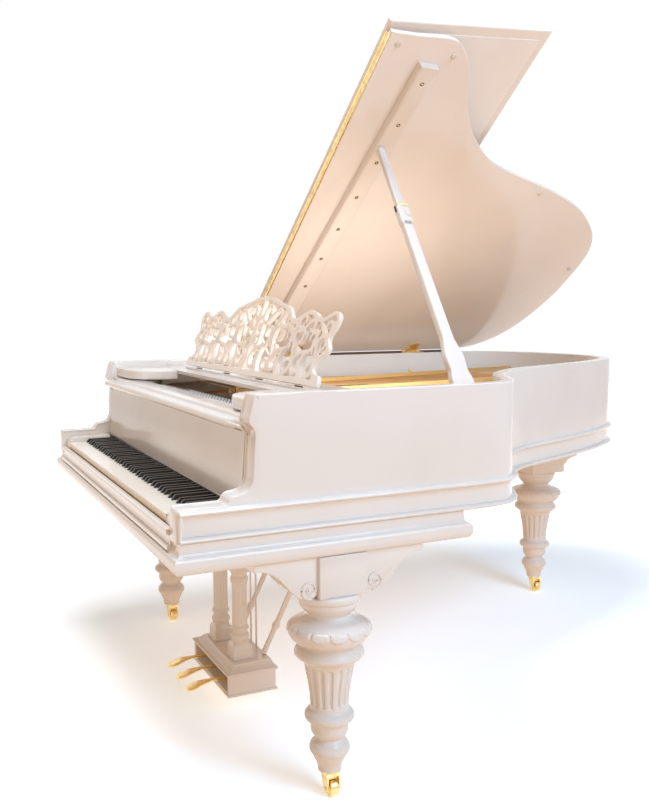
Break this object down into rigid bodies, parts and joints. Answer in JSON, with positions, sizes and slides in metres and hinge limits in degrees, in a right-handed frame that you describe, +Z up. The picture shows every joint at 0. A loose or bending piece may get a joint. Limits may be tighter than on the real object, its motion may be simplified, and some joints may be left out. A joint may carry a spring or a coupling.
{
  "type": "grand piano",
  "caption": "Victorian grand piano in white lacquer with turned and fluted legs, brass casters, a pierced music desk, a pedal lyre, and its lid raised on a prop with the front flap folded back",
  "frame": {"origin": "on the floor under the centre of the bounding box", "axes": "+X towards the treble side, +Y from the keyboard to the tail, +Z up"},
  "size_m": [1.576, 2.02, 2.0119],
  "materials": {
    "white_lacquer": "gloss warm white lacquer on wood",
    "ivory_white": "ivory-coloured tops on wooden keys",
    "ebony_black": "satin black on wooden keys",
    "gilt_iron": "gold-bronze paint",
    "brass": "polished brass",
    "steel_wire": "drawn steel wire",
    "copper_wound": "copper-wound wire",
    "spruce": "varnished spruce",
    "maple": "clear varnished maple",
    "felt": "pressed wool felt on wood"
  },
  "bodies": {
    "case": {"outer_rim": "white_lacquer", "inner_rim": "maple", "keybed": "white_lacquer", "key_slip": "white_lacquer", "key_block_bass": "white_lacquer", "key_block_treble": "white_lacquer", "front_rail": "white_lacquer", "name_board": "white_lacquer", "soundboard": "spruce", "long_bridge": "maple", "bass_bridge": "maple", "pin_block": "maple", "cast_iron_plate": "gilt_iron", "treble_strings": "steel_wire", "bass_strings": "copper_wound", "lid_hinge_front": "brass", "lid_hinge_rear": "brass", "prop_bracket": "brass", "leg_block_front_bass": "white_lacquer", "leg_block_front_treble": "white_lacquer", "leg_block_rear": "white_lacquer", "leg_front_bass": "white_lacquer", "leg_front_treble": "white_lacquer", "leg_rear": "white_lacquer", "lyre_column_bass": "white_lacquer", "lyre_column_treble": "white_lacquer", "pedal_box": "white_lacquer", "lyre_rod_bass": "white_lacquer", "lyre_rod_treble": "white_lacquer"},
    "lid": {"lid_main": "white_lacquer", "lid_batten": "white_lacquer", "flap_hinge": "brass"},
    "flap": {"lid_flap": "white_lacquer"},
    "prop_stick": {"prop_lower": "white_lacquer"},
    "prop_tip": {"prop_upper": "white_lacquer"},
    "key_lid": {"fallboard": "white_lacquer"},
    "shelf": {"desk_shelf": "white_lacquer", "desk_tray_bass": "white_lacquer", "desk_tray_treble": "white_lacquer"},
    "desk_panel": {"music_desk": "white_lacquer"},
    "desk_stay": {"desk_strut": "white_lacquer"},
    "action": {"key_frame": "maple", "hammers": "felt"},
    "damper_rail": {"dampers": "felt"},
    "naturals": {"white_keys": "ivory_white"},
    "sharps": {"black_keys": "ebony_black"},
    "c4": {"key_c4": "ivory_white"},
    "c_sharp4": {"key_c_sharp4": "ebony_black"},
    "d4": {"key_d4": "ivory_white"},
    "d_sharp4": {"key_d_sharp4": "ebony_black"},
    "e4": {"key_e4": "ivory_white"},
    "soft_pedal": {"pedal_soft": "brass"},
    "sostenuto_pedal": {"pedal_sostenuto": "brass"},
    "damper_pedal": {"pedal_damper": "brass"},
    "fork_front_bass": {"caster_fork_front_bass": "brass"},
    "fork_front_treble": {"caster_fork_front_treble": "brass"},
    "fork_rear": {"caster_fork_rear": "brass"},
    "wheel_front_bass": {"caster_wheel_front_bass": "brass"},
    "wheel_front_treble": {"caster_wheel_front_treble": "brass"},
    "wheel_rear": {"caster_wheel_rear": "brass"}
  },
  "joints": [
    {"name": "lid_raise", "type": "hinge", "parent": "case", "child": "lid", "pos_m": [-0.739, 0, 1.012], "axis": [0, -1, 0], "range_deg": [0, 50]},
    {"name": "flap_fold", "type": "hinge", "parent": "lid", "child": "flap", "pos_m": [-0.74947, -0.302, 1.02565], "axis": [0.7934, 0, 0.6088], "range_deg": [0, 150]},
    {"name": "prop_swing", "type": "hinge", "parent": "case", "child": "prop_stick", "pos_m": [0.662, -0.207, 0.978], "axis": [0, -1, 0], "range_deg": [0, 50]},
    {"name": "prop_tip_fold", "type": "hinge", "parent": "prop_stick", "child": "prop_tip", "pos_m": [0.30966, -0.18586, 1.48783], "axis": [0.0199, 0.9994, -0.0277], "range_deg": [0, 170]},
    {"name": "fallboard_close", "type": "hinge", "parent": "case", "child": "key_lid", "pos_m": [0, -0.8305, 0.748], "axis": [1, 0, 0], "range_deg": [0, 93]},
    {"name": "desk_slide", "type": "slide", "parent": "case", "child": "shelf", "axis": [0, 1, 0], "range_m": [-0.045, 0.02]},
    {"name": "desk_fold", "type": "hinge", "parent": "shelf", "child": "desk_panel", "pos_m": [0, -0.566, 0.99], "axis": [-1, 0, 0], "range_deg": [0, 66]},
    {"name": "desk_stay_fold", "type": "hinge", "parent": "desk_panel", "child": "desk_stay", "pos_m": [0, -0.51452, 1.10941], "axis": [-1, 0, 0], "range_deg": [-132, 0]},
    {"name": "action_shift", "type": "slide", "parent": "case", "child": "action", "axis": [1, 0, 0], "range_m": [0, 0.0025], "stiffness_N_per_m": 2000, "springref_m": -0.015},
    {"name": "damper_lift", "type": "slide", "parent": "case", "child": "damper_rail", "axis": [0, 0, 1], "range_m": [0, 0.006]},
    {"name": "naturals_press", "type": "hinge", "parent": "action", "child": "naturals", "pos_m": [0, -0.75, 0.7055], "axis": [1, 0, 0], "range_deg": [0, 2.43], "stiffness_Nm_per_rad": 50, "springref_deg": -5.73},
    {"name": "sharps_press", "type": "hinge", "parent": "action", "child": "sharps", "pos_m": [0, -0.75, 0.7055], "axis": [1, 0, 0], "range_deg": [0, 2.43], "stiffness_Nm_per_rad": 30, "springref_deg": -5.73},
    {"name": "c4_press", "type": "hinge", "parent": "action", "child": "c4", "pos_m": [-0.0585, -0.75, 0.7055], "axis": [1, 0, 0], "range_deg": [0, 2.43], "stiffness_Nm_per_rad": 1.8, "springref_deg": -5.73},
    {"name": "c_sharp4_press", "type": "hinge", "parent": "action", "child": "c_sharp4", "pos_m": [-0.05, -0.75, 0.7055], "axis": [1, 0, 0], "range_deg": [0, 2.43], "stiffness_Nm_per_rad": 1.2, "springref_deg": -5.73},
    {"name": "d4_press", "type": "hinge", "parent": "action", "child": "d4", "pos_m": [-0.035, -0.75, 0.7055], "axis": [1, 0, 0], "range_deg": [0, 2.43], "stiffness_Nm_per_rad": 1.8, "springref_deg": -5.73},
    {"name": "d_sharp4_press", "type": "hinge", "parent": "action", "child": "d_sharp4", "pos_m": [-0.0205, -0.75, 0.7055], "axis": [1, 0, 0], "range_deg": [0, 2.43], "stiffness_Nm_per_rad": 1.2, "springref_deg": -5.73},
    {"name": "e4_press", "type": "hinge", "parent": "action", "child": "e4", "pos_m": [-0.012, -0.75, 0.7055], "axis": [1, 0, 0], "range_deg": [0, 2.43], "stiffness_Nm_per_rad": 1.8, "springref_deg": -5.73},
    {"name": "soft_pedal_press", "type": "hinge", "parent": "case", "child": "soft_pedal", "pos_m": [-0.097, -0.59, 0.078], "axis": [1, 0, 0], "range_deg": [0, 5], "stiffness_Nm_per_rad": 12, "springref_deg": -8.59},
    {"name": "sostenuto_pedal_press", "type": "hinge", "parent": "case", "child": "sostenuto_pedal", "pos_m": [0, -0.59, 0.078], "axis": [1, 0, 0], "range_deg": [0, 5], "stiffness_Nm_per_rad": 12, "springref_deg": -8.59},
    {"name": "damper_pedal_press", "type": "hinge", "parent": "case", "child": "damper_pedal", "pos_m": [0.097, -0.59, 0.078], "axis": [1, 0, 0], "range_deg": [0, 5], "stiffness_Nm_per_rad": 12, "springref_deg": -8.59},
    {"name": "swivel_front_bass", "type": "hinge", "parent": "case", "child": "fork_front_bass", "pos_m": [-0.687, -0.61, 0], "axis": [0, 0, 1], "continuous": true},
    {"name": "roll_front_bass", "type": "hinge", "parent": "fork_front_bass", "child": "wheel_front_bass", "pos_m": [-0.674, -0.61, 0.0215], "axis": [0, 1, 0], "continuous": true},
    {"name": "swivel_front_treble", "type": "hinge", "parent": "case", "child": "fork_front_treble", "pos_m": [0.687, -0.61, 0], "axis": [0, 0, 1], "continuous": true},
    {"name": "roll_front_treble", "type": "hinge", "parent": "fork_front_treble", "child": "wheel_front_treble", "pos_m": [0.7, -0.61, 0.0215], "axis": [0, 1, 0], "continuous": true},
    {"name": "swivel_rear", "type": "hinge", "parent": "case", "child": "fork_rear", "pos_m": [-0.352, 0.87, 0], "axis": [0, 0, 1], "continuous": true},
    {"name": "roll_rear", "type": "hinge", "parent": "fork_rear", "child": "wheel_rear", "pos_m": [-0.339, 0.87, 0.0215], "axis": [0, 1, 0], "continuous": true}
  ],
  "couplings": [
    {"joint": "desk_stay_fold", "follows": "desk_fold", "ratio": -2},
    {"joint": "soft_pedal_press", "follows": "action_shift", "rad_per_m": 34.8},
    {"joint": "damper_lift", "follows": "damper_pedal_press", "m_per_rad": 0.0687}
  ]
}
